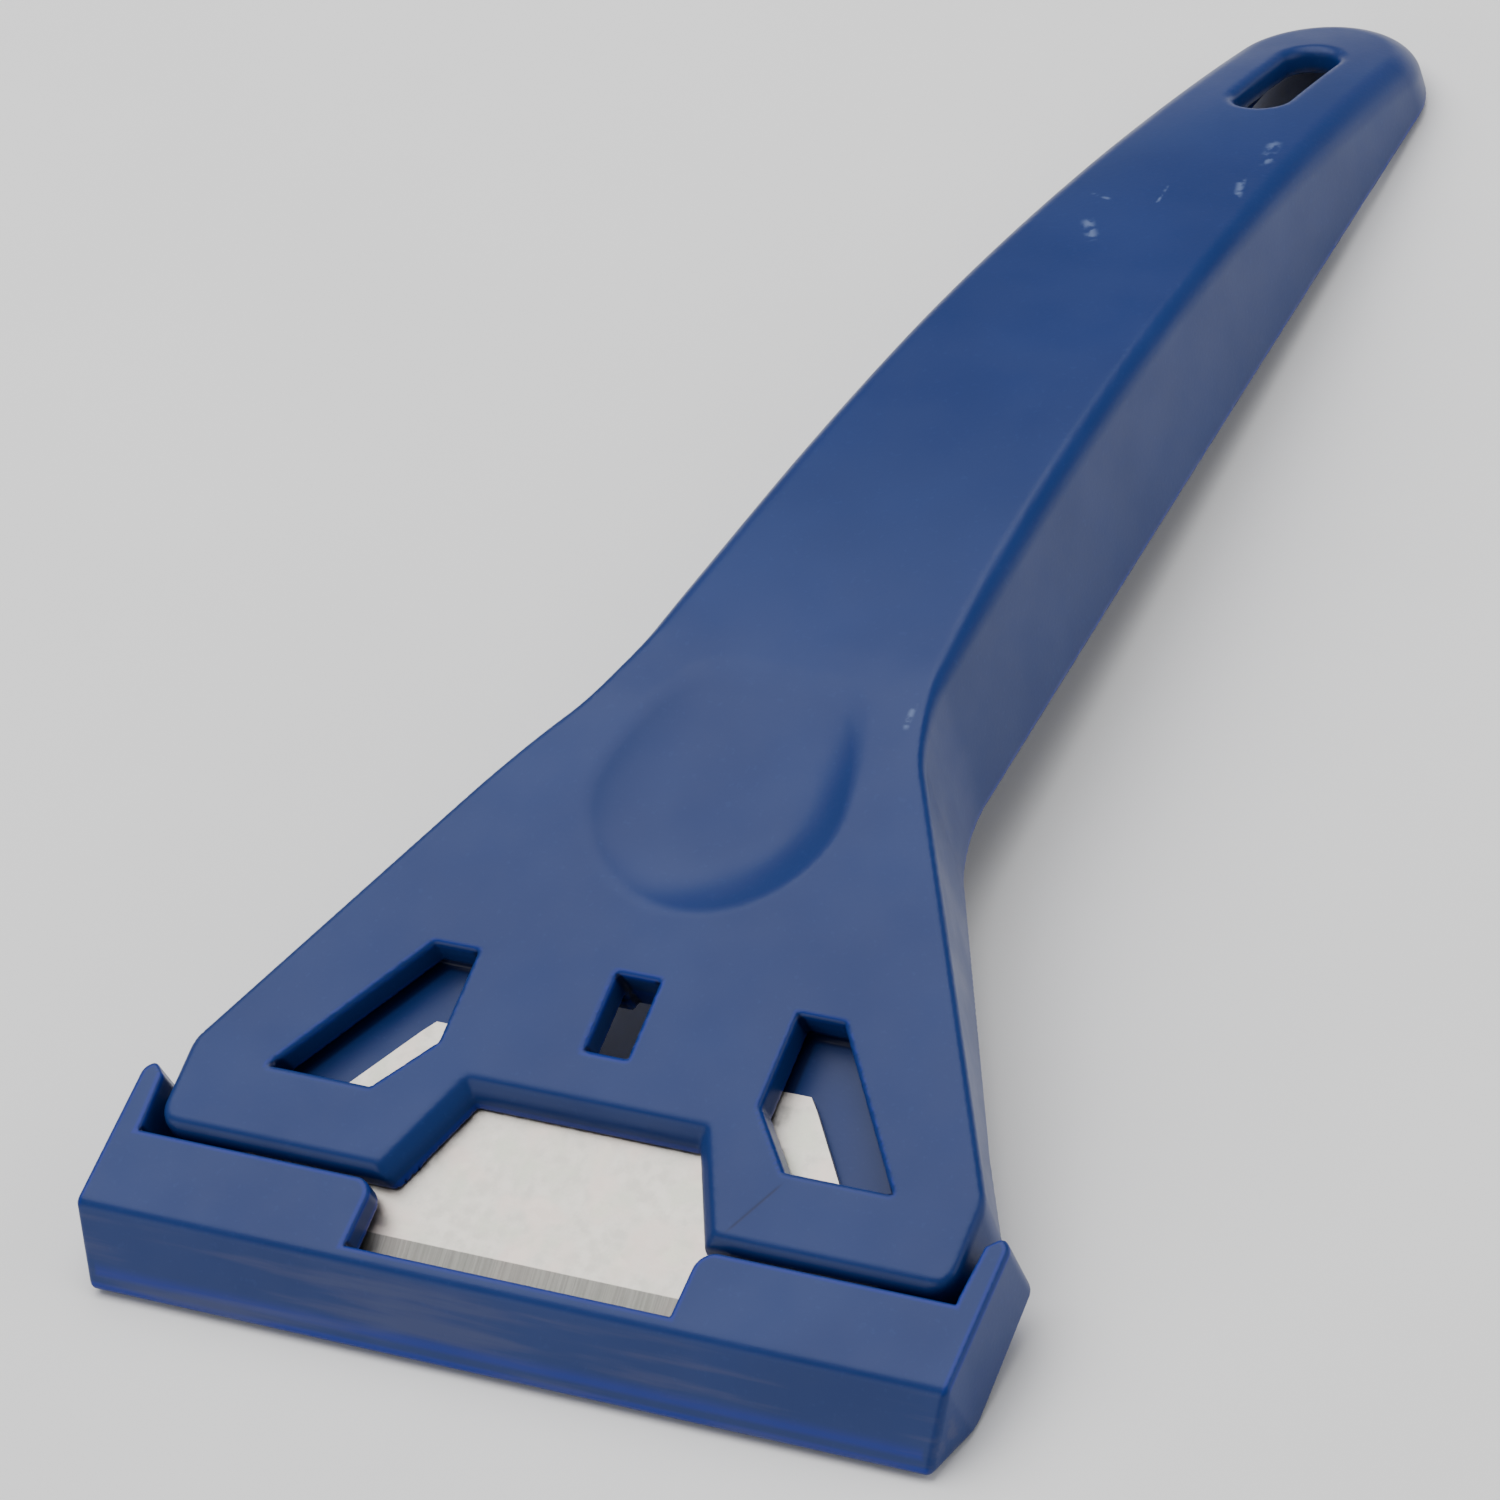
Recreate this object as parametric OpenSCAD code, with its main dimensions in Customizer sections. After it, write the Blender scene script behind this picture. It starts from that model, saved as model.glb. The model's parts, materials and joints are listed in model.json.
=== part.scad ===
// Windshield ice scraper: a moulded body that holds a trapezoid blade, with a pull-off blade guard.
// The head's own frame has its top face at z = 0 and its front edge at y = 0, with +y along the handle.
// stand() tips that frame until the guard's chin and the handle's end both rest on the ground.

/* [Head] */
// Half the width of the head between its straight sides
head_half_w = 33.7; // [32.8:0.1:33.8]
// Length of the straight sides behind the front edge
head_side_len = 7.6; // [6:0.1:9]
// Distance from the front edge to the waist where the handle begins
waist_y = 44.2; // [42:0.1:47]
// Radius of the head's front corners
corner_r = 2; // [1:0.25:3]
// Thickness of the top plate over the blade
plate_t = 2.4; // [2.2:0.05:2.6]
// Depth of the head's skirt at the front edge
skirt_front = 5.3; // [5:0.05:5.4]
// Distance from the front edge over which the skirt keeps that depth
skirt_level_y = 13; // [9:0.25:16]
// Depth of the head's skirt where it meets the handle
skirt_waist = 13.5; // [12:0.25:14]
// Thickness of the outer walls
wall = 2; // [1.6:0.1:2.4]

/* [Windows] */
// Half the width of the front cut-out at the front edge and at its rear
cutout_half_w = [13.7, 9.85];
// Depth of the front cut-out
cutout_y = 8.15; // [7:0.05:8.5]
// Inner and outer edges of a side window, from the middle
window_x = [13.6, 26.3];
// Outer edge of a side window at its narrow rear
window_rear_x = 17.4; // [16:0.1:20]
// Front and rear edges of a side window
window_y = [6.6, 18.8];
// Where the inner front corner of a window is cut off
window_chamfer = [17.5, 11.2];
// Half the width of the middle slot
slot_half_w = 1.8; // [1.4:0.1:2.2]
// Front and rear edges of the middle slot
slot_y = [12.8, 19.2];

/* [Handle] */
// Half the width of the handle at the waist
waist_half_w = 12.9; // [12:0.1:13.5]
// Half the width of the handle at its round end
end_half_w = 8; // [7:0.1:8.5]
// Distance from the front edge to the centre of the round end
end_y = 130.3; // [129:0.1:132]
// Where the top face starts to bend down
bend_y = 30.8; // [29:0.1:32]
// Radius of the first bend
bend_r = 70; // [65:1:75]
// Slope of the top face at the end of the first bend
bend_a = 16; // [15:0.25:17]
// Radius of the long arch of the handle
arch_r = 280; // [260:5:320]
// Slope of the straight lower edge
keel_a = 20.75; // [20:0.05:21.5]
// Half the width of the hanging slot
hang_half_w = 2.9; // [2.5:0.1:3.2]
// Distance from the front edge to the slot's first end and last end
hang_y = [119.2, 131.2];
// Thickness of each cross rib under the handle
rib_t = 1.2; // [1:0.1:2]
// Distances from the front edge to the cross ribs
rib_y = [64, 83, 102];

/* [Thumb dish] */
// Distance from the front edge to the middle of the dish
dish_y = 35.5; // [34:0.1:36.5]
// Radius of the dish's rim
dish_rim_r = 11.2; // [9:0.1:11.5]
// Depth of the dish
dish_depth = 1.6; // [0.8:0.1:1.7]

/* [Blade] */
// Length of the cutting edge
blade_edge_len = 61; // [60:0.1:62]
// Length of the back edge
blade_back_len = 33; // [32:0.1:35]
// Height from the cutting edge to the back
blade_h = 19; // [18.6:0.05:19.2]
// Thickness of the blade
blade_t = 0.6; // [0.4:0.05:0.65]
// How far the cutting edge stands out past the head
blade_out = 5.3; // [5:0.05:5.4]
// Width of the ground bevel
blade_bevel = 1.6; // [1:0.1:2]
// Distance of the notches from the middle
notch_x = 4.4; // [4:0.1:5]
// Width and depth of a notch
notch_size = [2.6, 2.4];

/* [Guard] */
// Half the width of the guard
guard_half_w = 36.7; // [36.5:0.1:37.2]
// Half the width of its pocket
pocket_half_w = 34.4; // [34.2:0.05:34.6]
// Half the gap between the two lips
lip_gap = 13.7; // [13:0.1:15]
// Thickness of the two lips
lip_t = 1.9; // [1.7:0.05:2.1]
// How much narrower the nose is on each side
nose_taper = 0.9; // [0.5:0.1:1.2]

/* [Hidden] */
$fn = 64;
eps = 0.01;
big = 400;
play = 0.06;
pocket_play = 0.3;
plastic = [0.10, 0.17, 0.36];
steel = [0.76, 0.75, 0.72];
blade_top = -plate_t - play;
blade_under = blade_top - blade_t;
blade_middle = blade_top - blade_t / 2;
floor_top = blade_under - play;
floor_under = floor_top - 1.5;
blade_back_y = blade_h - blade_out;
// The guard's side outline, [y, z]: lip edge, nose, chin, heel, ear
guard_outline = [
    [-7.4, 0.5], [-12.25, -4.35], [-6.4, -6.55], [4.4, -6.55], [4.9, -6.05], [5.2, -0.7], [4.8, -0.25]];
guard_rear_y = guard_outline[5].x;
guard_nose_y = guard_outline[1].x;
chin = guard_outline[2];
guard_floor = chin.y + 0.9;
pocket_y = -0.6;
// Top face of the body, [y, z], as a first bend and a long arch
bend_end = [bend_y + bend_r * sin(bend_a), -bend_r * (1 - cos(bend_a))];
function arch_angle(y) = asin(sin(bend_a) + (y - bend_end.x) / arch_r);
function top_z(y) =
    y <= bend_y ? 0 :
    y <= bend_end.x ? -bend_r * (1 - cos(asin((y - bend_y) / bend_r))) :
    bend_end.y - arch_r * (cos(bend_a) - cos(arch_angle(y)));
// Straight lower edge of the handle, below the crease with the head
crease_y = waist_y - 2.9;
function keel_z(y) = -skirt_waist - (y - crease_y) * tan(keel_a);
// Angle that puts the chin and the heel of the handle on the ground
heel_y = end_y + 5.6;
tilt = atan2(chin.y - keel_z(heel_y), heel_y - chin.x);
function up(p) = p.x * sin(tilt) + p.y * cos(tilt);
function along(p) = p.x * cos(tilt) - p.y * sin(tilt);
// Plan outline of the body, [x, y] on the ground, drawn in by an inset
function share(y) = (y - waist_y) / (end_y - waist_y);
function half_w(y) = waist_half_w - (waist_half_w - end_half_w) * share(y) * (1.3 - 0.3 * share(y));
function plan(x, y) = [x, along([y, top_z(y)])];
function corner(i) = [for (a = [0:15:90])
    plan(head_half_w - i - corner_r * (1 - sin(a)), i + corner_r * (1 - cos(a)))];
function end_cap(i) = [for (a = [0:10:90])
    plan(end_half_w - i, end_y) + [(end_half_w - i) * (cos(a) - 1), (end_half_w - i) * sin(a)]];
function right_side(i) = concat(
    corner(i),
    [plan(head_half_w - i, head_side_len - i / 2)],
    [for (y = [waist_y:9:end_y - 5]) plan(half_w(y) - i, y)],
    end_cap(i));
function mirrored(points) = [for (k = [len(points) - 1:-1:0]) [-points[k].x, points[k].y]];
function outline(i) = concat(right_side(i), mirrored(right_side(i)));
end_plan = plan(0, end_y).y + end_half_w;
nose_plan = along(guard_outline[1]);
mid_plan = (end_plan + nose_plan) / 2;

// Puts the head's frame on the ground with the middle of the whole part over the origin
module stand() translate([0, -mid_plan, -up(chin)]) rotate([tilt, 0, 0]) children();

// A prism along x from an outline in [y, z]
module across(half_len) rotate([90, 0, 90]) linear_extrude(2 * half_len, center = true) children();

// A prism square to the ground from an outline in [x, y] on the ground
module upright() rotate([-tilt, 0, 0]) linear_extrude(big, center = true) children();

module both_sides() {
    children();
    mirror([1, 0, 0]) children();
}

// The body's side outline, [y, z], with its top and lower edge drawn in
module side_outline(top_in, lower_out, front, back) {
    polygon(concat(
        [for (y = [front, bend_y]) [y, top_z(y) - top_in]],
        [for (y = [bend_y + 4:4:back]) [y, top_z(y) - top_in]],
        [[back, top_z(back) - top_in], [back, keel_z(back) - lower_out]],
        [[crease_y, keel_z(crease_y) - lower_out], [skirt_level_y, -skirt_front - lower_out]],
        [[front, -skirt_front - lower_out]]));
}

module shell() intersection() {
    upright() polygon(outline(0));
    across(head_half_w + 1) side_outline(0, 0, -1, end_y + 12);
}

module hollow() intersection() {
    upright() polygon(outline(wall));
    across(head_half_w + 1) side_outline(plate_t, 20, -1, end_y + 12);
}

module window() linear_extrude(20, center = true) polygon([
    [window_x[0], window_y[1]], [window_rear_x, window_y[1]], [window_x[1], window_y[0]],
    [window_chamfer.x, window_y[0]], [window_x[0], window_chamfer.y]]);

module front_cutout() linear_extrude(20, center = true) polygon([
    [-cutout_half_w[0], -eps], [cutout_half_w[0], -eps],
    [cutout_half_w[1], cutout_y], [-cutout_half_w[1], cutout_y]]);

module middle_slot() translate([-slot_half_w, slot_y[0], -10])
    cube([2 * slot_half_w, slot_y[1] - slot_y[0], 20]);

// A pocket in the blade's own outline, a little wider, and open at the front
module blade_pocket() translate([0, 0, floor_top]) linear_extrude(-plate_t - floor_top) polygon([
    [-blade_edge_len / 2 - pocket_play, -blade_out], [blade_edge_len / 2 + pocket_play, -blade_out],
    [blade_back_len / 2 + pocket_play, blade_back_y + play],
    [-blade_back_len / 2 - pocket_play, blade_back_y + play]]);

module dish() {
    ball_r = (pow(dish_rim_r, 2) + pow(dish_depth, 2)) / (2 * dish_depth);
    translate([0, dish_y, ball_r - dish_depth]) sphere(ball_r, $fn = 128);
}

module hang_slot() {
    first = hang_y[0] + hang_half_w;
    last = hang_y[1] - hang_half_w;
    from = [first, top_z(first)];
    to = [last, top_z(last)];
    slope = atan2(from.y - to.y, to.x - from.x);
    reach = norm(to - from);
    translate([0, from.x, from.y]) rotate([-slope, 0, 0]) {
        cylinder(h = 8, r = hang_half_w, center = true);
        translate([0, reach, 0]) cylinder(h = 8, r = hang_half_w, center = true);
        translate([-hang_half_w, 0, -4]) cube([2 * hang_half_w, reach, 8]);
    }
}

// The floor under the blade, with openings below the solid parts of the top plate
module blade_floor() difference() {
    translate([-head_half_w + wall / 2, 0, floor_under])
        cube([2 * head_half_w - wall, window_y[1] + 1.4, floor_top - floor_under]);
    translate([-12.2, 9.5, floor_under - 1]) cube([24.4, 9, 4]);
    both_sides() translate([27.6, 2.2, floor_under - 1]) cube([2.6, 7, 4]);
}

// Stops behind the blade, and the walls that tie the floor to the top plate
module stops() {
    both_sides() translate([7.5, blade_back_y + 2, floor_under]) cylinder(h = -floor_under - 1, r = 1.6);
    both_sides() translate([5.9, blade_back_y + 0.4, floor_under]) cube([3.2, 5.9, -floor_under - 1]);
    translate([-window_rear_x - 6, window_y[1], floor_under])
        cube([2 * window_rear_x + 12, 1.4, -floor_under - 1]);
    both_sides() translate([notch_x, blade_back_y - 1.2, floor_under])
        cylinder(h = -floor_under - 1, r = 0.9);
}

module ribs() intersection() {
    upright() polygon(outline(wall / 2));
    across(head_half_w) side_outline(plate_t / 2, 0, -1, end_y + 12);
    for (y = rib_y) {
        translate([0, y, top_z(y)]) rotate([-tilt, 0, 0])
            cube([2 * head_half_w, rib_t, 2 * head_half_w], center = true);
    }
}

// Cuts the ribs back from the open lower edge
module rib_relief() across(waist_half_w + 6) polygon([
    [crease_y, keel_z(crease_y) + 4.5], [end_y + 12, keel_z(end_y + 12) + 4.5],
    [end_y + 12, keel_z(end_y) - 30], [crease_y, keel_z(crease_y) - 30]]);

module body() color(plastic) stand() {
    difference() {
        union() {
            difference() {
                shell();
                hollow();
            }
            intersection() {
                upright() polygon(outline(wall / 2));
                union() {
                    blade_floor();
                    stops();
                }
            }
            difference() {
                ribs();
                rib_relief();
            }
        }
        difference() {
            blade_pocket();
            both_sides() translate([notch_x, blade_back_y - 1.2, floor_under])
                cylinder(h = 3, r = 0.9);
        }
        intersection() {
            union() {
                both_sides() window();
                front_cutout();
            }
            translate([-big / 2, -big / 2, floor_top]) cube([big, big, 20]);
        }
        middle_slot();
        dish();
        hang_slot();
    }
}

module blade_outline() difference() {
    polygon([
        [-blade_edge_len / 2, -blade_out], [blade_edge_len / 2, -blade_out],
        [blade_back_len / 2, blade_back_y], [-blade_back_len / 2, blade_back_y]]);
    both_sides() translate([notch_x - notch_size.x / 2, blade_back_y - notch_size.y])
        square(notch_size + [0, 1]);
}

// Waste on one side of a ground face that slopes to the cutting edge
module ground_face(face_z, waste) across(blade_edge_len) polygon([
    [-blade_out - 1, blade_middle], [-blade_out, blade_middle], [-blade_out + blade_bevel, face_z],
    [-blade_out + blade_bevel, face_z + waste], [-blade_out - 1, face_z + waste]]);

module blade() color(steel) stand() difference() {
    translate([0, 0, blade_under]) linear_extrude(blade_t) blade_outline();
    ground_face(blade_top, 1);
    ground_face(blade_under, -1);
}

// The guard's block in plan, a little narrower at the nose
module guard_block() intersection() {
    across(guard_half_w) polygon(guard_outline);
    linear_extrude(30, center = true) polygon([
        [-guard_half_w, guard_rear_y + 1], [guard_half_w, guard_rear_y + 1],
        [guard_half_w, guard_outline[0].x], [guard_half_w - nose_taper, guard_nose_y - eps],
        [-guard_half_w + nose_taper, guard_nose_y - eps], [-guard_half_w, guard_outline[0].x]]);
}

module blade_guard() color(plastic) stand() difference() {
    guard_block();
    // Pocket for the head, open at the top and the back
    translate([-pocket_half_w, pocket_y, guard_floor]) cube([2 * pocket_half_w, 10, 20]);
    // Room for the cutting edge inside the nose
    across(pocket_half_w) polygon([
        [pocket_y + eps, 0.1 - lip_t], [-6.7, 0.1 - lip_t], [-10.3, -3.95],
        [chin.x, guard_floor], [pocket_y + eps, guard_floor]]);
    // Opening between the two lips
    translate([-lip_gap, -6.2, -3]) cube([2 * lip_gap, 8, 10]);
    // Lead-in at the mouth of the pocket
    both_sides() translate([pocket_half_w, guard_rear_y, 0]) rotate([0, 0, 45])
        cube([1.6, 1.6, 30], center = true);
}

body();
blade();
blade_guard();
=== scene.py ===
"""Looks of a windshield ice scraper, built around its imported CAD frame.

The two mouldings are described as distance fields in millimetres and turned into meshes here, so every
edge has its true small radius. The blade is built face by face. Lengths are in millimetres in the head's
own frame (x across, y from the front edge towards the handle, z up from the top face) until a mesh is
made, and metres in the row frame after that.
"""
import json
import math

import bmesh
import bpy
import numpy as np
from mathutils import Matrix, Vector


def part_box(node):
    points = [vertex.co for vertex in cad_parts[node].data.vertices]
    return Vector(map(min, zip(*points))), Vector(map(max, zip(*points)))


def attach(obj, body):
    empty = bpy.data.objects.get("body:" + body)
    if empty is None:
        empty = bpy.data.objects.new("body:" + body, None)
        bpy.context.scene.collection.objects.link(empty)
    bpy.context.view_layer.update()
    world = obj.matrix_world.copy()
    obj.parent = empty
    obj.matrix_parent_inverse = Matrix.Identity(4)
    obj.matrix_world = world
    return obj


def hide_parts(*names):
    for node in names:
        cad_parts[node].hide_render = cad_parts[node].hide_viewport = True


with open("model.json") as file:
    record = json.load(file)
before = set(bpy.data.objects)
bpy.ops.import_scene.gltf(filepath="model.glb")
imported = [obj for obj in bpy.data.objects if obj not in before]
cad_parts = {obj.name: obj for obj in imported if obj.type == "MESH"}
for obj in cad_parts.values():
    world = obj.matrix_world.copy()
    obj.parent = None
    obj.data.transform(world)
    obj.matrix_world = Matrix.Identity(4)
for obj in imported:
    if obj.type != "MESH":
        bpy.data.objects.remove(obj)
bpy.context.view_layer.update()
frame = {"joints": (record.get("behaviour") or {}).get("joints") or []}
MM = 0.001

# The frame: the guard's joint runs along the head, and the guard's chin and nose fix the head's place.
PULL = Vector(frame["joints"][0]["axis"]).normalized()
COS, SIN = -PULL.y, -PULL.z
GUARD_LOW, GUARD_HIGH = (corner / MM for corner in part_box("blade_guard"))
BODY_LOW, BODY_HIGH = (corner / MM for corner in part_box("body"))
LIP_EDGE = (-7.4, 0.5)
NOSE = (-12.25, -4.35)
CHIN = (-6.4, -6.55)
OFFSET_Y = GUARD_LOW.y - (NOSE[0] * COS - NOSE[1] * SIN)
OFFSET_Z = GUARD_LOW.z - (CHIN[0] * SIN + CHIN[1] * COS)

# Head
HEAD_HALF_W = 33.5
HEAD_SIDE_LEN = 7.6
WAIST = (12.9, 44.2)
PLATE_T = 2.4
CHAMFER = 0.75
WALL = 1.8
DISH_Y, DISH_R, DISH_WALL, DISH_DEPTH = 35.9, 10.9, 6.2, 1.7
SKIRT_FRONT = 5.3
SKIRT_LEVEL_Y = 13.0
CREASE = (41.3, -13.5)
KEEL_SLOPE = math.tan(math.radians(20.75))
DRAFT = 0.04

# Openings in the head's top face, seen from above. The window is the right one, mirrored for the left.
CUTOUT = [(-14.65, -2.0), (14.65, -2.0), (9.85, 8.15), (-9.85, 8.15)]
WINDOW = [(13.6, 18.8), (17.4, 18.8), (26.3, 6.6), (17.5, 6.6), (13.6, 11.2)]
SLOT = [(-1.8, 12.8), (1.8, 12.8), (1.8, 19.2), (-1.8, 19.2)]
CUTOUT_DRAFT, WINDOW_DRAFT = 0.3, 0.06

# Handle
BEND_Y, BEND_R, BEND_A, ARCH_R = 30.8, 70.0, math.radians(16), 280.0
CROWN = 0.6
END_DROP_Y, END_DROP = 108.0, 0.0015
WAIST_PLAN = 42.7
WAIST_HALF_W = 12.9
END_HALF_W = 7.8
END_PLAN = BODY_HIGH.y - END_HALF_W - 0.3
RIB_PLAN = (-3.6, 16.7, 37.5)
RIB_HALF_T, RIB_RISE = 0.6, 4.5
HANG_FIRST, HANG_LAST, HANG_HALF_W = 121.9, 128.9, 2.35

# Blade and its slot
PLAY = 0.06
BLADE_T = 0.6
BLADE_TOP = -PLATE_T - PLAY
BLADE_UNDER = BLADE_TOP - BLADE_T
BLADE_FRONT, BLADE_BACK = -5.3, 13.7
BLADE_HALF_FRONT, BLADE_HALF_BACK = 30.5, 16.5
BLADE_BEVEL = 1.6
NOTCH_X, NOTCH_HALF_W, NOTCH_DEPTH = 4.4, 1.3, 2.4
FLOOR_TOP = BLADE_UNDER - PLAY
FLOOR_UNDER = FLOOR_TOP - 1.5
FLOOR_REAR = 20.2

# Guard
GUARD_HALF_W = 36.7
POCKET_HALF_W = 34.4
POCKET_Y = -0.6
GUARD_REAR = 5.2
LIP_GAP = 13.7
GUARD_FLOOR = CHIN[1] + 0.9
GAP_FRONT, GAP_FLOOR = -6.2, -3.0

# Fineness of the meshes
BODY_STEP, GUARD_STEP = 0.3, 0.2


# ---------------------------------------------------------------- places

def to_head(row_y, row_z):
    """(y, z) in the head's frame of a place in the row frame, in mm."""
    y, z = row_y - OFFSET_Y, row_z - OFFSET_Z
    return y * COS + z * SIN, z * COS - y * SIN


def to_row(y, z):
    """(y, z) in the row frame of a place in the head's frame, in mm."""
    return y * COS - z * SIN + OFFSET_Y, y * SIN + z * COS + OFFSET_Z


# ---------------------------------------------------------------- distance fields

def both(a, b, r):
    """Where two solids overlap, with the edge between them rounded to radius r."""
    u, v = np.maximum(a + r, 0), np.maximum(b + r, 0)
    return np.minimum(np.maximum(a, b), -r) + np.sqrt(u * u + v * v)


def either(a, b, r):
    """Two solids joined, with a fillet of radius r between them."""
    return -both(-a, -b, r)


def cut(a, b, r):
    """Solid a without solid b, with the new edge rounded to radius r."""
    return both(a, -b, r)


def slab(v, low, high):
    return np.maximum(low - v, v - high)


def smooth(v, low, high):
    t = np.clip((v - low) / (high - low), 0, 1)
    return t * t * (3 - 2 * t)


def polygon_distance(px, py, points):
    """Signed distance to a closed outline, negative inside."""
    best = np.full(np.broadcast(px, py).shape, 1e9)
    inside = np.zeros(best.shape, bool)
    for (ax, ay), (bx, by) in zip(points, points[1:] + points[:1]):
        ex, ey = bx - ax, by - ay
        wx, wy = px - ax, py - ay
        t = np.clip((wx * ex + wy * ey) / (ex * ex + ey * ey), 0, 1)
        best = np.minimum(best, (wx - ex * t) ** 2 + (wy - ey * t) ** 2)
        if ey:
            crosses = (py < ay) != (py < by)
            inside ^= crosses & (wx < wy * ex / ey)
    return np.where(inside, -1, 1) * np.sqrt(best)


def top_z(y):
    """Height of the body's top face: flat over the head, then a bend, a long arch and a drop at the end."""
    bend_end = BEND_Y + BEND_R * math.sin(BEND_A)
    first = BEND_R * (np.sqrt(1 - np.clip((y - BEND_Y) / BEND_R, 0, math.sin(BEND_A)) ** 2) - 1)
    sine = np.clip(math.sin(BEND_A) + np.maximum(y - bend_end, 0) / ARCH_R, 0, 0.9)
    arch = ARCH_R * (np.sqrt(1 - sine * sine) - math.cos(BEND_A))
    return first + arch - END_DROP * np.maximum(y - END_DROP_Y, 0) ** 2


def top_cos(y):
    bend_end = BEND_Y + BEND_R * math.sin(BEND_A)
    sine = np.clip((y - BEND_Y) / BEND_R, 0, math.sin(BEND_A)) + np.maximum(y - bend_end, 0) / ARCH_R
    return np.sqrt(1 - np.minimum(sine, 0.9) ** 2)


def lower_z(y):
    """Height of the body's lower edge: level by the guard, down to the crease, then the keel."""
    run = CREASE[0] - SKIRT_LEVEL_Y
    slope = (CREASE[1] + SKIRT_FRONT) / run
    return (-SKIRT_FRONT + slope * np.clip(y - SKIRT_LEVEL_Y, 0, run)
            - KEEL_SLOPE * np.maximum(y - CREASE[0], 0))


def body_plan(ax, y, row_y, depth):
    """Distance to the body's side walls."""
    p = (row_y - OFFSET_Y) / COS
    flare = DRAFT * np.maximum(depth, 0)
    front = -y - flare
    side = ax - HEAD_HALF_W - flare
    run, rise = HEAD_HALF_W - WAIST[0], WAIST[1] - HEAD_SIDE_LEN
    size = math.hypot(run, rise)
    taper = ((ax - HEAD_HALF_W) * rise + (p - HEAD_SIDE_LEN) * run) / size - flare
    head = both(both(front, side, 2.2), taper, 0.5)
    along = row_y - OFFSET_Y
    share = np.clip((along - WAIST_PLAN) / (END_PLAN - OFFSET_Y - WAIST_PLAN), 0, 1)
    half_w = WAIST_HALF_W - (WAIST_HALF_W - END_HALF_W) * share * (1.3 - 0.3 * share)
    past_end = np.maximum(row_y - END_PLAN, 0)
    handle = np.sqrt(ax * ax + past_end * past_end) - half_w - flare
    handle = np.maximum(handle, 30 - along)
    return either(head, handle, 2.2)


def dish_z(ax, y):
    """The thumb dish's surface: a level floor that the bending top face runs into, and a U-shaped wall."""
    past = np.minimum(y - DISH_Y, 0)
    inside = DISH_R - np.sqrt(ax * ax + past * past)
    share = np.clip(inside / DISH_WALL, 0, 1)
    return np.where(inside > 0, -DISH_DEPTH * (1 - (1 - share) ** 2), -0.7 * inside)


def sink_marks(ax, y):
    """Shallow dents over the two stops behind the blade."""
    return 0.07 * np.exp(-((ax - 7.5) ** 2 + (y - 15.7) ** 2) / (2 * 1.5 ** 2))


def body_field(x, row_y, row_z):
    ax = np.abs(x)
    y, z = to_head(row_y, row_z)
    surface = top_z(y) - CROWN * smooth(y, 84, 120) * (ax / END_HALF_W) ** 2
    depth = surface - z
    plan = body_plan(ax, y, row_y, depth)
    top = (-depth + sink_marks(ax, y)) * top_cos(y)
    under = (lower_z(y) - z) * 0.95
    edge_r = 0.7 + 0.9 * smooth(y, 36, 62) + 0.5 * smooth(y, 100, 125)
    solid = both(both(plan, top, edge_r), under, 0.35)
    solid = both(solid, (CHAMFER - y + z) * math.sqrt(0.5), 0.25)
    dish = (z - dish_z(ax, y)) * 0.9
    solid = both(solid, dish, 0.3)
    hollow = both(both(plan + WALL, top + PLATE_T, 1.2), dish + 1.9, 1.0)
    solid = cut(solid, hollow, 0.3)

    solid = with_openings(solid, x, y, z)
    solid = either(solid, inner_parts(ax, y, z, row_y, plan, top), 0.3)
    blade = [(-31.0, BLADE_FRONT), (BLADE_HALF_FRONT + 0.3, BLADE_FRONT),
             (BLADE_HALF_BACK + 0.3, BLADE_BACK + PLAY), (-31.0, BLADE_BACK + PLAY)]
    pocket = np.maximum(polygon_distance(ax, y, blade), slab(z, FLOOR_TOP, -PLATE_T))
    pip = np.hypot(ax - NOTCH_X, y - BLADE_BACK + 1.2) - 0.9
    pip = np.maximum(pip, slab(z, FLOOR_UNDER, -1))
    solid = np.minimum(np.maximum(solid, -pocket), pip)
    solid = cut(solid, polygon_distance(x, y, SLOT), 0.3)
    return cut(solid, hang_slot(x, y, z), 0.8)


def with_openings(solid, x, y, z):
    """The solid with the front cut-out, its chamfer and the two windows."""
    cutout = polygon_distance(x, y, CUTOUT)
    window = polygon_distance(np.abs(x), y, WINDOW)
    solid = cut(solid, np.maximum(cutout - CUTOUT_DRAFT * z, FLOOR_TOP - z), 0.3)
    solid = both(solid, (CHAMFER - cutout + z) * math.sqrt(0.5), 0.25)
    return cut(solid, np.maximum(window - WINDOW_DRAFT * z, FLOOR_TOP - z), 0.35)


def inner_parts(ax, y, z, row_y, plan, top):
    """What is inside the body: the floor under the blade, the stops behind it and the handle's ribs."""
    within = plan + 0.9
    floor = np.maximum(np.maximum(slab(z, FLOOR_UNDER, FLOOR_TOP), slab(y, 0.1, FLOOR_REAR)), within)
    floor = cut(floor, np.maximum(ax - 12.2, slab(y, 9.5, 18.5)), 0.3)
    floor = cut(floor, np.maximum(slab(ax, 27.6, 30.2), slab(y, 2.2, 9.2)), 0.3)
    tie = np.maximum(slab(z, FLOOR_UNDER, -1), within)
    rear = np.maximum(np.maximum(tie, slab(y, 18.8, FLOOR_REAR)), ax - 23.4)
    stop = np.maximum(np.maximum(tie, slab(y, BLADE_BACK + 0.4, FLOOR_REAR)), slab(ax, 5.9, 9.1))
    inner = np.minimum(np.minimum(floor, rear), stop)
    for place in RIB_PLAN:
        rib = np.maximum(np.abs(row_y - place) - RIB_HALF_T, np.maximum(plan, top) + 1)
        inner = np.minimum(inner, np.maximum(rib, (lower_z(y) + RIB_RISE - z) * 0.95))
    return inner


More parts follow.
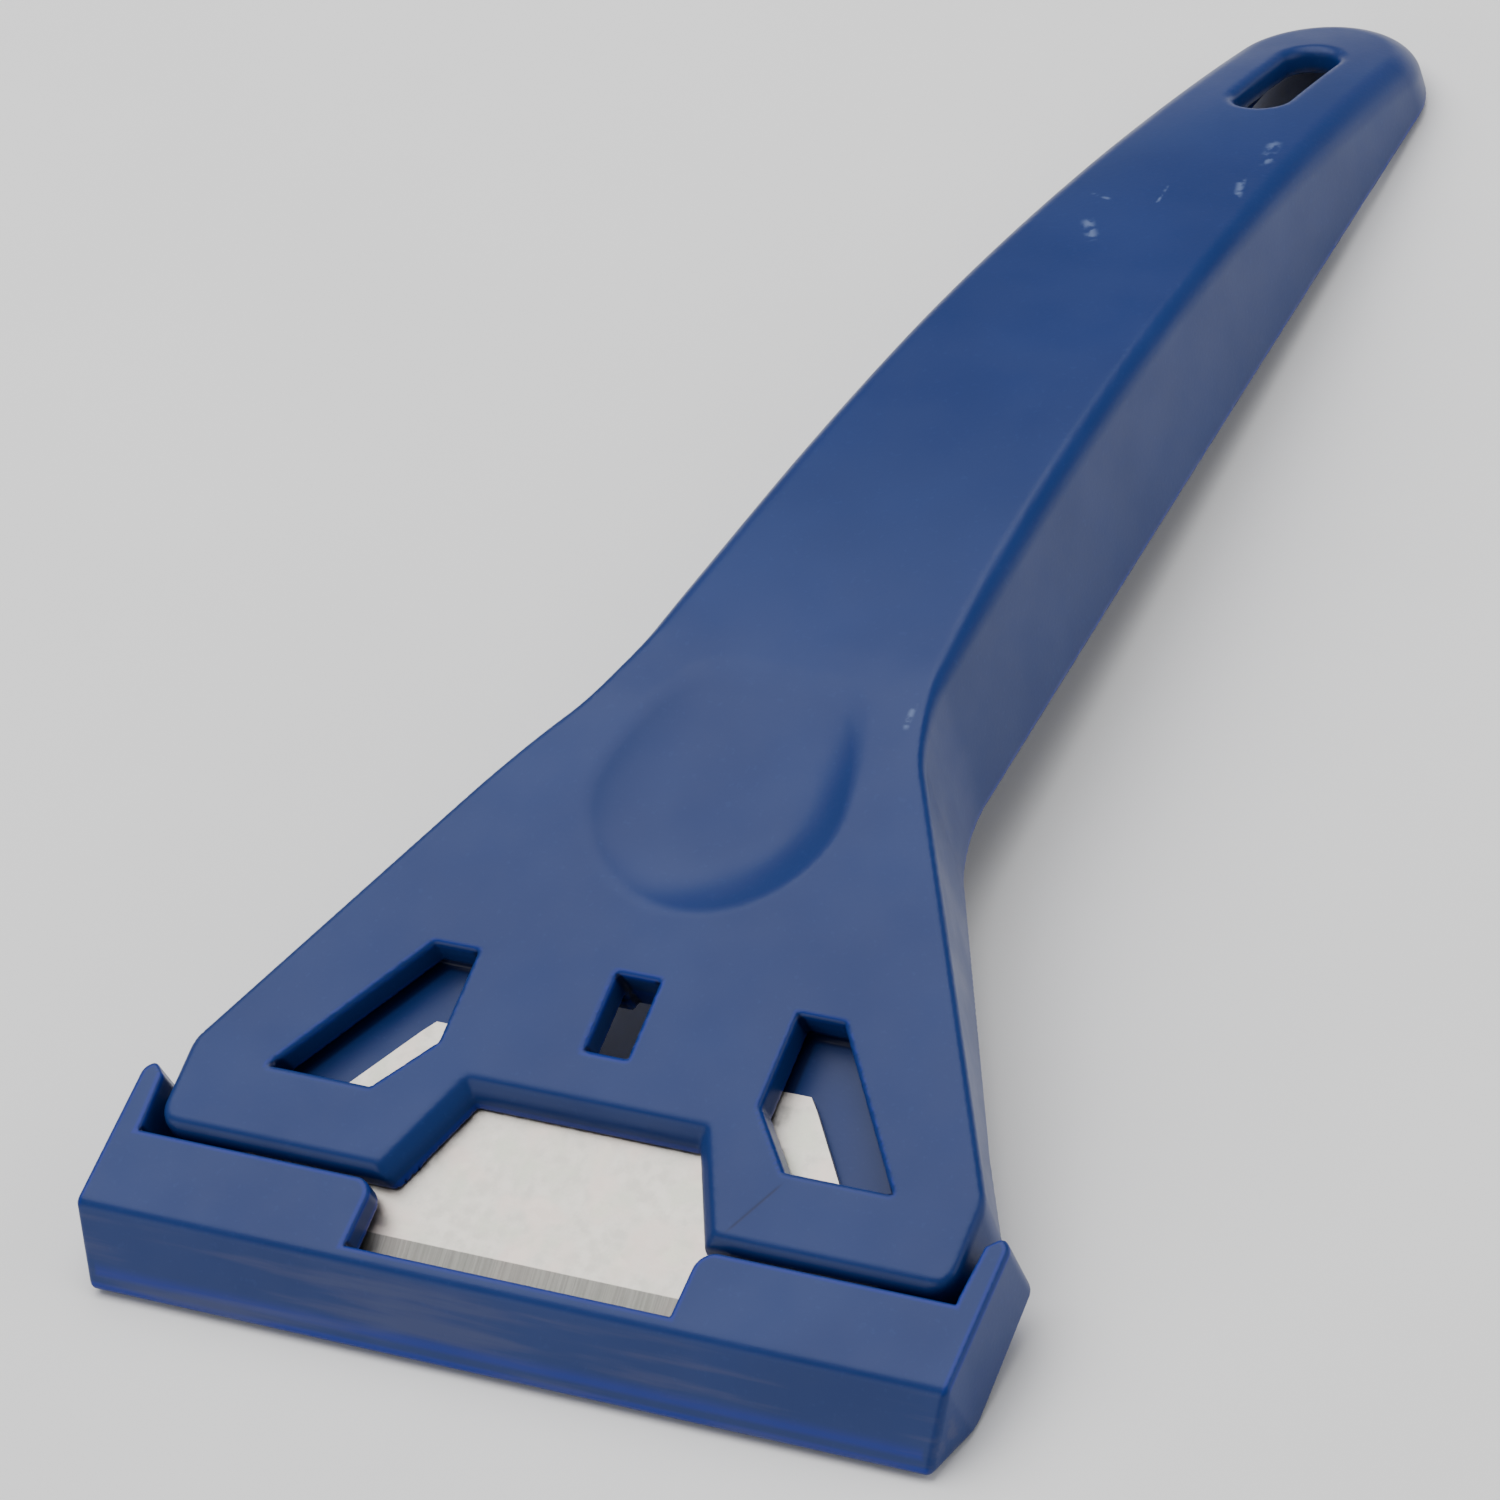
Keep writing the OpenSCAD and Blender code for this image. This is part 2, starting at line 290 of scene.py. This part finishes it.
def hang_slot(x, y, z):
    """The slot that the handle hangs by, square to the top face."""
    z_first, z_last = float(top_z(np.array(HANG_FIRST))), float(top_z(np.array(HANG_LAST)))
    reach = math.hypot(HANG_LAST - HANG_FIRST, z_last - z_first)
    c, s = (HANG_LAST - HANG_FIRST) / reach, (z_last - z_first) / reach
    along = (y - HANG_FIRST) * c + (z - z_first) * s
    above = (z - z_first) * c - (y - HANG_FIRST) * s
    past = np.maximum(np.abs(along - reach / 2) - reach / 2, 0)
    plan = np.sqrt(x * x + past * past) - HANG_HALF_W - 0.1 * np.minimum(above, 0)
    return np.maximum(plan, np.abs(above) - 5)


def guard_field(x, row_y, row_z):
    ax = np.abs(x)
    y, z = to_head(row_y, row_z)
    top = z - LIP_EDGE[1] + 0.0615 * (y - LIP_EDGE[0])
    before_edge = np.maximum(LIP_EDGE[0] - y, 0)
    side = ax - GUARD_HALF_W + 0.216 * before_edge + 0.045 * np.maximum(LIP_EDGE[1] - z, 0)
    rear = y - GUARD_REAR - 0.056 * (z + 0.7)
    front = both(plane_through(y, z, LIP_EDGE, NOSE), plane_through(y, z, NOSE, CHIN), 0.6)
    solid = both(both(side, rear, 1.25), front, 0.5)
    solid = both(both(solid, CHIN[1] - z, 0.5), top, 0.4)

    lead_in = np.maximum(y - GUARD_REAR + 1.0, 0) + 0.07 * np.maximum(y, 0)
    pocket = np.maximum(np.maximum(ax - POCKET_HALF_W - lead_in, POCKET_Y - y), GUARD_FLOOR - z)
    gap = np.maximum(np.maximum(ax - LIP_GAP, GAP_FRONT - y), GAP_FLOOR - z)
    solid = cut(solid, either(pocket, gap, 1.6), 0.28)
    cavity = polygon_distance(y, z, [
        (POCKET_Y + 0.5, -1.8), (-6.7, -1.8), (-10.3, -3.95), (CHIN[0], GUARD_FLOOR),
        (POCKET_Y + 0.5, GUARD_FLOOR)])
    return np.maximum(solid, -np.maximum(ax - POCKET_HALF_W, cavity))


def plane_through(y, z, a, b):
    """Distance to the side of the line from a to b that the solid isn't on."""
    ey, ez = b[0] - a[0], b[1] - a[1]
    size = math.hypot(ey, ez)
    return ((y - a[0]) * ez - (z - a[1]) * ey) / size


# ---------------------------------------------------------------- meshes from fields

def crossing_cells(values, axis):
    """Grid edges along an axis whose ends are on opposite sides of the surface."""
    ahead = [slice(None)] * 3
    behind = [slice(None)] * 3
    ahead[axis], behind[axis] = slice(1, None), slice(None, -1)
    a, b = values[tuple(behind)], values[tuple(ahead)]
    found = np.argwhere((a < 0) != (b < 0))
    where = tuple(found.T)
    return found, a[where] / (a[where] - b[where]), a[where] < 0


def surface(field, low, high, step):
    """Vertices and quads of a field's zero surface, one vertex in each cell that the surface crosses."""
    axes = [np.arange(lo - 1.5 * step, hi + 2.5 * step, step) for lo, hi in zip(low, high)]
    shape = tuple(len(a) for a in axes)
    values = np.empty(shape, np.float32)
    chunk = 24
    for start in range(0, shape[1], chunk):
        rows = axes[1][start:start + chunk]
        values[:, start:start + chunk, :] = field(
            axes[0][:, None, None], rows[None, :, None], axes[2][None, None, :])
    cells = np.array(shape) - 1
    total, count, quads = np.zeros((cells.prod(), 3)), np.zeros(cells.prod()), []
    for axis in range(3):
        found, share, rising = crossing_cells(values, axis)
        point = found.astype(float)
        point[:, axis] += share
        u, v = (axis + 1) % 3, (axis + 2) % 3
        ring = []
        for du, dv in ((0, 0), (1, 0), (1, 1), (0, 1)):
            cell = found.copy()
            cell[:, u] -= du
            cell[:, v] -= dv
            flat = np.ravel_multi_index(tuple(cell.T), tuple(cells))
            ring.append(flat)
            count += np.bincount(flat, minlength=len(count))
            for k in range(3):
                total[:, k] += np.bincount(flat, weights=point[:, k], minlength=len(count))
        ring = np.stack(ring, 1)
        quads.append(np.where(rising[:, None], ring, ring[:, ::-1]))
    used = np.flatnonzero(count)
    number = np.full(len(count), -1)
    number[used] = np.arange(len(used))
    points = total[used] / count[used, None] * step + [a[0] for a in axes]
    return points, number[np.concatenate(quads)]


def gradient(field, points, reach=0.02):
    columns = []
    for k in range(3):
        shift = np.zeros(3)
        shift[k] = reach
        ahead, behind = points + shift, points - shift
        columns.append(field(*ahead.T) - field(*behind.T))
    return np.stack(columns, 1) / (2 * reach)


def settle(field, points, step, rounds=3):
    """Moves each vertex onto the true surface."""
    for _ in range(rounds):
        g = gradient(field, points)
        move = (field(*points.T) / np.maximum((g * g).sum(1), 0.05))[:, None] * g
        size = np.maximum(np.linalg.norm(move, axis=1), 1e-9)
        points = points - move * np.minimum(1, 0.5 * step / size)[:, None]
    return points


def field_piece(name, field, low, high, step):
    """A mesh object, in metres, with how sharp and how hollow the surface is stored at each vertex."""
    points, quads = surface(field, low, high, step)
    points = settle(field, points, step)
    g = gradient(field, points)
    normals = g / np.maximum(np.linalg.norm(g, axis=1), 1e-6)[:, None]
    mesh = bpy.data.meshes.new(name)
    mesh.vertices.add(len(points))
    mesh.vertices.foreach_set("co", (points * MM).astype(np.float32).ravel())
    mesh.loops.add(quads.size)
    mesh.loops.foreach_set("vertex_index", quads.astype(np.int32).ravel())
    mesh.polygons.add(len(quads))
    mesh.polygons.foreach_set("loop_start", np.arange(0, quads.size, 4, dtype=np.int32))
    mesh.polygons.foreach_set("use_smooth", np.ones(len(quads), bool))
    mesh.update(calc_edges=True)
    reach = 0.7
    sharp = (field(*(points - normals * reach).T) + reach) / reach
    hollow = (reach - field(*(points + normals * reach).T)) / reach
    for label, share in (("sharp", sharp), ("hollow", hollow)):
        layer = mesh.attributes.new(label, "FLOAT", "POINT")
        layer.data.foreach_set("value", np.clip(share, 0, 1).astype(np.float32))
    piece = bpy.data.objects.new(name, mesh)
    bpy.context.scene.collection.objects.link(piece)
    return piece


# ---------------------------------------------------------------- blade

def blade_piece():
    """The blade as one closed mesh: flat faces, two ground faces at the front, two notches at the back."""
    def half_w(y):
        share = (y - BLADE_FRONT) / (BLADE_BACK - BLADE_FRONT)
        return BLADE_HALF_FRONT - share * (BLADE_HALF_FRONT - BLADE_HALF_BACK)

    bevel_y = BLADE_FRONT + BLADE_BEVEL
    notch_y = BLADE_BACK - NOTCH_DEPTH
    first, last = NOTCH_X - NOTCH_HALF_W, NOTCH_X + NOTCH_HALF_W
    right = [(half_w(bevel_y), bevel_y), (half_w(BLADE_BACK) + 0.28, BLADE_BACK - 1.0),
             (half_w(BLADE_BACK) - 0.6, BLADE_BACK), (last, BLADE_BACK), (last, notch_y + 0.5),
             (last - 0.5, notch_y), (first + 0.5, notch_y), (first, notch_y + 0.5), (first, BLADE_BACK)]
    outline = right + [(-x, y) for x, y in reversed(right)]
    bm = bmesh.new()

    def ring(z):
        return [bm.verts.new((x, y, z)) for x, y in outline]

    upper, lower = ring(BLADE_TOP), ring(BLADE_UNDER)
    middle = (BLADE_TOP + BLADE_UNDER) / 2
    tips = [bm.verts.new((x, BLADE_FRONT, middle)) for x in (half_w(BLADE_FRONT), -half_w(BLADE_FRONT))]
    bm.faces.new(upper)
    bm.faces.new(lower[::-1])
    for k in range(len(outline) - 1):
        bm.faces.new((upper[k + 1], upper[k], lower[k], lower[k + 1]))
    bm.faces.new((upper[0], upper[-1], tips[1], tips[0]))
    bm.faces.new((lower[-1], lower[0], tips[0], tips[1]))
    bm.faces.new((upper[0], tips[0], lower[0]))
    bm.faces.new((tips[1], upper[-1], lower[-1]))
    bmesh.ops.recalc_face_normals(bm, faces=bm.faces)
    bmesh.ops.triangulate(bm, faces=[f for f in bm.faces if len(f.verts) > 4])
    for v in bm.verts:
        row_y, row_z = to_row(v.co.y, v.co.z)
        v.co = Vector((v.co.x, row_y, row_z)) * MM
    mesh = bpy.data.meshes.new("scraper_blade")
    bm.to_mesh(mesh)
    bm.free()
    piece = bpy.data.objects.new("scraper_blade", mesh)
    bpy.context.scene.collection.objects.link(piece)
    return piece


# ---------------------------------------------------------------- materials

PLASTIC_LOW, PLASTIC_HIGH = (0.007, 0.025, 0.124), (0.009, 0.029, 0.137)
PLASTIC_PALE = (0.016, 0.042, 0.168)
# Painted dark reflection: a deeper, more saturated blue laid along the rounded edges.
PLASTIC_EDGE_PAINTED_REFLECTION = (0.005, 0.022, 0.220)
# Painted shade for concave corners and creases; the same dark blue also colours the weld line.
PLASTIC_CORNER_SHADE_AND_WELD = (0.004, 0.009, 0.050)
PLASTIC_SCUFF = (0.16, 0.22, 0.40)
# Painted reflection: the lighter, greyer colour of long blurry bands on the guard's front face.
PLASTIC_REFLECTION_STREAK = (0.060, 0.070, 0.150)
STEEL_LOW, STEEL_HIGH = (0.44, 0.42, 0.38), (0.62, 0.59, 0.54)
STEEL_WARM, STEEL_GREEN = (0.62, 0.52, 0.47), (0.47, 0.50, 0.41)
STEEL_GROUND_LOW, STEEL_GROUND_HIGH = (0.17, 0.17, 0.16), (0.26, 0.26, 0.24)
SCUFFS = (
    ((5.0, 115.5), (6.2, 111.5), 0.8), ((5.4, 109.6), (6.6, 106.6), 0.5),
    ((-3.6, 101.2), (-1.2, 98.2), 0.7), ((-5.2, 104.5), (-3.0, 104.0), 0.25),
    ((0.4, 107.0), (1.0, 103.8), 0.2), ((11.6, 46.0), (12.0, 43.2), 0.4))

class Recipe:
    """A node material being put together. Places in it are in the head's own frame, in millimetres."""

    def __init__(self, name):
        self.material = bpy.data.materials.new(name)
        self.material.use_nodes = True
        self.shader = self.material.node_tree.nodes["Principled BSDF"]
        place = self.node("ShaderNodeTexCoord").outputs["Object"]
        turn = self.node("ShaderNodeMapping", Vector=place)
        turn.inputs["Location"].default_value = (
            0, -OFFSET_Y * COS - OFFSET_Z * SIN, OFFSET_Y * SIN - OFFSET_Z * COS)
        turn.inputs["Rotation"].default_value = (-math.atan2(SIN, COS), 0, 0)
        turn.inputs["Scale"].default_value = (1 / MM, 1 / MM, 1 / MM)
        self.place = turn.outputs["Vector"]
        split = self.node("ShaderNodeSeparateXYZ", Vector=self.place)
        self.x, self.y, self.z = split.outputs

    def node(self, kind, **inputs):
        made = self.material.node_tree.nodes.new(kind)
        for name, value in inputs.items():
            self.put(made.inputs[name.replace("_", " ")], value)
        return made

    def put(self, socket, value):
        if isinstance(value, bpy.types.NodeSocket):
            self.material.node_tree.links.new(value, socket)
        else:
            socket.default_value = value

    def math(self, operation, *values):
        made = self.node("ShaderNodeMath")
        made.operation = operation
        for socket, value in zip(made.inputs, values):
            self.put(socket, value)
        return made.outputs["Value"]

    def noise(self, size, stretch=(1, 1, 1), detail=2.0, shift=0.0):
        """Noise from 0 to 1 with features of a size in mm, longer along an axis with a larger stretch."""
        scaled = self.node("ShaderNodeMapping", Vector=self.place)
        scaled.inputs["Scale"].default_value = [1 / (size * k) for k in stretch]
        scaled.inputs["Location"].default_value = (shift, shift, shift)
        made = self.node("ShaderNodeTexNoise", Vector=scaled.outputs["Vector"])
        made.inputs["Scale"].default_value = 1
        made.inputs["Detail"].default_value = detail
        return made.outputs["Fac"]

    def over(self, value, low, high, first=0.0, last=1.0):
        """A smooth step from first to last as a value goes from low to high."""
        made = self.node("ShaderNodeMapRange", Value=value)
        made.interpolation_type = "SMOOTHSTEP"
        for name, number in (("From Min", low), ("From Max", high), ("To Min", first), ("To Max", last)):
            made.inputs[name].default_value = number
        return made.outputs["Result"]

    def blend(self, share, first, second):
        """One colour changing to another. Either can be an output or a tuple."""
        made = self.node("ShaderNodeMix")
        made.data_type = "RGBA"
        self.put(made.inputs[0], share)
        for socket, colour in zip((made.inputs[6], made.inputs[7]), (first, second)):
            self.put(socket, (*colour, 1) if isinstance(colour, tuple) else colour)
        return made.outputs[2]

    def stored(self, name):
        made = self.node("ShaderNodeAttribute")
        made.attribute_name = name
        return made.outputs["Fac"]

    def bump(self, height, depth):
        """Relief of a depth in mm."""
        made = self.node("ShaderNodeBump", Height=height)
        made.inputs["Strength"].default_value = 1
        made.inputs["Distance"].default_value = depth * MM
        self.put(self.shader.inputs["Normal"], made.outputs["Normal"])

    def mark(self, first, last, half_width):
        """A share of 1 along a straight mark between two places, fading out to its sides and ends."""
        run_x, run_y = last[0] - first[0], last[1] - first[1]
        size = math.hypot(run_x, run_y)
        run_x, run_y = run_x / size, run_y / size
        dx, dy = self.math("SUBTRACT", self.x, first[0]), self.math("SUBTRACT", self.y, first[1])
        along = self.math("MULTIPLY_ADD", dx, run_x, self.math("MULTIPLY", dy, run_y))
        aside = self.math("MULTIPLY_ADD", dx, run_y, self.math("MULTIPLY", dy, -run_x))
        aside = self.math("ABSOLUTE", aside)
        from_middle = self.math("ABSOLUTE", self.math("SUBTRACT", along, size / 2))
        return self.math("MULTIPLY", self.over(aside, 0, half_width, 1, 0),
                         self.over(from_middle, size * 0.3, size / 2, 1, 0))


def moulded_plastic(name):
    """Dark blue moulded plastic, with a painted dark reflection making it deeper blue at its edges, painted
    shade making it darker in its corners, and a fine sheen.
    """
    recipe = Recipe(name)
    colour = recipe.blend(recipe.over(recipe.noise(14), 0.3, 0.7), PLASTIC_LOW, PLASTIC_HIGH)
    speckle = recipe.over(recipe.noise(0.5, detail=1.0), 0.62, 0.78, 0, 0.3)
    colour = recipe.blend(speckle, colour, PLASTIC_PALE)
    # Painted dark reflection: deeper blue along the rounded edges, masked by the stored sharpness.
    colour = recipe.blend(recipe.over(recipe.stored("sharp"), 0.12, 0.55), colour, PLASTIC_EDGE_PAINTED_REFLECTION)
    # Painted shade: darker in concave corners and creases, masked by the stored hollowness.
    colour = recipe.blend(recipe.over(recipe.stored("hollow"), 0.1, 0.6), colour, PLASTIC_CORNER_SHADE_AND_WELD)
    sheen = recipe.over(recipe.noise(5, detail=4.0), 0.3, 0.7, 0.31, 0.38)
    recipe.shader.inputs["IOR"].default_value = 1.31
    return recipe, colour, sheen


def body_material():
    """The plastic with what handling and moulding left on it: scuffs by the handle's end and a weld line."""
    recipe, colour, sheen = moulded_plastic("body_plastic")
    scuffs = 0.0
    for first, last, half_width in SCUFFS:
        scuffs = recipe.math("MAXIMUM", recipe.mark(first, last, half_width), scuffs)
    broken = recipe.over(recipe.noise(0.9, detail=3.0), 0.42, 0.6)
    scuffs = recipe.math("MULTIPLY", scuffs, broken)
    colour = recipe.blend(recipe.math("MULTIPLY", scuffs, 0.5), colour, PLASTIC_SCUFF)
    on_head = recipe.over(recipe.z, -0.6, -0.2)
    weld = recipe.math("MULTIPLY", recipe.mark((18.0, 5.9), (14.9, 0.8), 0.2), on_head)
    colour = recipe.blend(recipe.math("MULTIPLY", weld, 0.7), colour, PLASTIC_CORNER_SHADE_AND_WELD)
    recipe.put(recipe.shader.inputs["Base Color"], colour)
    recipe.put(recipe.shader.inputs["Roughness"], recipe.math("MULTIPLY_ADD", scuffs, 0.15, sheen))
    relief = recipe.math("MULTIPLY_ADD", weld, -2.0, recipe.noise(0.35, detail=3.0))
    recipe.bump(relief, 0.006)
    return recipe.material


def guard_material():
    """The plastic of the guard, with long streaky painted reflections along its sloping front face."""
    recipe, colour, sheen = moulded_plastic("guard_plastic")
    front = recipe.math("MULTIPLY_ADD", recipe.y, -1.0, recipe.math("MULTIPLY", recipe.z, 0.1))
    front = recipe.over(front, -LIP_EDGE[0] + 0.1, -LIP_EDGE[0] + 0.9)
    # Painted reflection: long streaky bands stretched across the sloping front face; the same mask makes
    # them slightly rougher.
    reflection_streaks = recipe.over(recipe.noise(1.3, (14, 1, 1), 3.0), 0.45, 0.68)
    reflection_streaks = recipe.math("MULTIPLY", recipe.math("MULTIPLY", reflection_streaks, front), 0.55)
    colour = recipe.blend(reflection_streaks, colour, PLASTIC_REFLECTION_STREAK)
    recipe.put(recipe.shader.inputs["Base Color"], colour)
    recipe.put(recipe.shader.inputs["Roughness"], recipe.math("MULTIPLY_ADD", reflection_streaks, 0.12, sheen))
    recipe.bump(recipe.noise(0.4, detail=3.0), 0.007)
    return recipe.material


def blade_material():
    """Rolled steel strip with a mottled, slightly stained face and a ground front edge."""
    recipe = Recipe("blade_steel")
    mottle = recipe.over(recipe.noise(1.1, detail=5.0), 0.36, 0.64)
    colour = recipe.blend(mottle, STEEL_LOW, STEEL_HIGH)
    warm = recipe.over(recipe.noise(4, shift=7.0), 0.46, 0.66, 0, 0.6)
    colour = recipe.blend(warm, colour, STEEL_WARM)
    green = recipe.over(recipe.noise(3, shift=19.0), 0.5, 0.68, 0, 0.45)
    colour = recipe.blend(green, colour, STEEL_GREEN)
    ground = recipe.over(recipe.y, BLADE_FRONT + BLADE_BEVEL - 0.06, BLADE_FRONT + BLADE_BEVEL + 0.06, 1, 0)
    grinding = recipe.over(recipe.noise(0.16, (1, 60, 60), 2.0), 0.3, 0.7)
    colour = recipe.blend(recipe.math("MULTIPLY", ground, 0.75), colour,
                          recipe.blend(grinding, STEEL_GROUND_LOW, STEEL_GROUND_HIGH))
    rolled = recipe.noise(0.25, (60, 1, 1), 3.0)
    relief = recipe.math("MULTIPLY", recipe.math("SUBTRACT", 1.0, ground), rolled)
    relief = recipe.math("MULTIPLY_ADD", ground, grinding, relief)
    recipe.put(recipe.shader.inputs["Base Color"], colour)
    recipe.put(recipe.shader.inputs["Roughness"], recipe.over(mottle, 0, 1, 0.36, 0.46))
    recipe.shader.inputs["Metallic"].default_value = 0.9
    recipe.bump(relief, 0.004)
    return recipe.material


def floor_material():
    recipe = Recipe("pale_floor")
    grain = recipe.over(recipe.noise(30, detail=3.0), 0.3, 0.7)
    colour = recipe.blend(grain, (0.86, 0.86, 0.86), (0.88, 0.88, 0.88))
    recipe.put(recipe.shader.inputs["Base Color"], colour)
    recipe.shader.inputs["Roughness"].default_value = 0.9
    return recipe.material


# ---------------------------------------------------------------- stage

CAMERA_TARGET = Vector((-6.46, -20.2, 9.0)) * MM
CAMERA_AZIMUTH, CAMERA_ELEVATION, CAMERA_ROLL = (math.radians(a) for a in (38.79, 40.4, -17.27))
CAMERA_DISTANCE = 642.2 * MM
CAMERA_LENS = 204
# Each light's name, the direction it shines from, its distance and size in metres, and its radiance
LIGHTS = (("overhead", (-0.24, 0.2, 1.0), 1.0, 1.25, 3.3),
          ("right_card", (0.92, 0.25, 0.36), 1.1, 1.0, 1.3),
          ("front_card", (-0.5, -0.87, 0.2), 1.2, 0.8, 1.9))
WORLD_STRENGTH = 0.3


def camera():
    """Seen from the front right and above, turned about its own axis, from far off."""
    level_reach = math.cos(CAMERA_ELEVATION)
    back = Vector((math.sin(CAMERA_AZIMUTH) * level_reach, -math.cos(CAMERA_AZIMUTH) * level_reach,
                   math.sin(CAMERA_ELEVATION)))
    level = Vector((0, 0, 1)).cross(back).normalized()
    up = back.cross(level)
    right = level * math.cos(CAMERA_ROLL) + up * math.sin(CAMERA_ROLL)
    up = back.cross(right)
    data = bpy.data.cameras.new("camera")
    data.sensor_width = 36
    data.lens = CAMERA_LENS
    data.clip_start, data.clip_end = 0.01, 10
    seen = bpy.data.objects.new("camera", data)
    turn = Matrix((right, up, back)).transposed().to_4x4()
    seen.matrix_world = Matrix.Translation(CAMERA_TARGET + back * CAMERA_DISTANCE) @ turn
    bpy.context.scene.collection.objects.link(seen)
    bpy.context.scene.camera = seen


def floor():
    bm = bmesh.new()
    bmesh.ops.create_grid(bm, x_segments=8, y_segments=8, size=1.5)
    mesh = bpy.data.meshes.new("floor")
    bm.to_mesh(mesh)
    bm.free()
    piece = bpy.data.objects.new("floor", mesh)
    piece.location.z = -0.0001
    bpy.context.scene.collection.objects.link(piece)
    mesh.materials.append(floor_material())


def softbox(name, direction, reach, size, brightness):
    """A square area light aimed at the part. Its brightness is its radiance."""
    data = bpy.data.lights.new(name, "AREA")
    data.shape = "SQUARE"
    data.size = size
    data.energy = brightness * math.pi * size * size
    light = bpy.data.objects.new(name, data)
    light.location = Vector(direction).normalized() * reach
    light.rotation_euler = (-light.location).to_track_quat("-Z", "Y").to_euler()
    bpy.context.scene.collection.objects.link(light)


def lights():
    for name, direction, reach, size, brightness in LIGHTS:
        softbox(name, direction, reach, size, brightness)
    world = bpy.data.worlds.new("studio")
    world.use_nodes = True
    world.node_tree.nodes["Background"].inputs["Color"].default_value = (1, 1, 1, 1)
    world.node_tree.nodes["Background"].inputs["Strength"].default_value = WORLD_STRENGTH
    bpy.context.scene.world = world


def inside(low, high, margin=0.4):
    """A field's search box, in mm, a little larger than a CAD node's box."""
    return [v - margin for v in low], [v + margin for v in high]


camera()
floor()
lights()

body = field_piece("scraper_body", body_field, *inside(BODY_LOW, BODY_HIGH), BODY_STEP)
body.data.materials.append(body_material())
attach(body, "scraper")
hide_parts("body")

guard = field_piece("blade_cover", guard_field, *inside(GUARD_LOW, GUARD_HIGH), GUARD_STEP)
guard.data.materials.append(guard_material())
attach(guard, "guard")
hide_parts("blade_guard")

blade = blade_piece()
blade.data.materials.append(blade_material())
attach(blade, "scraper")
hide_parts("blade")
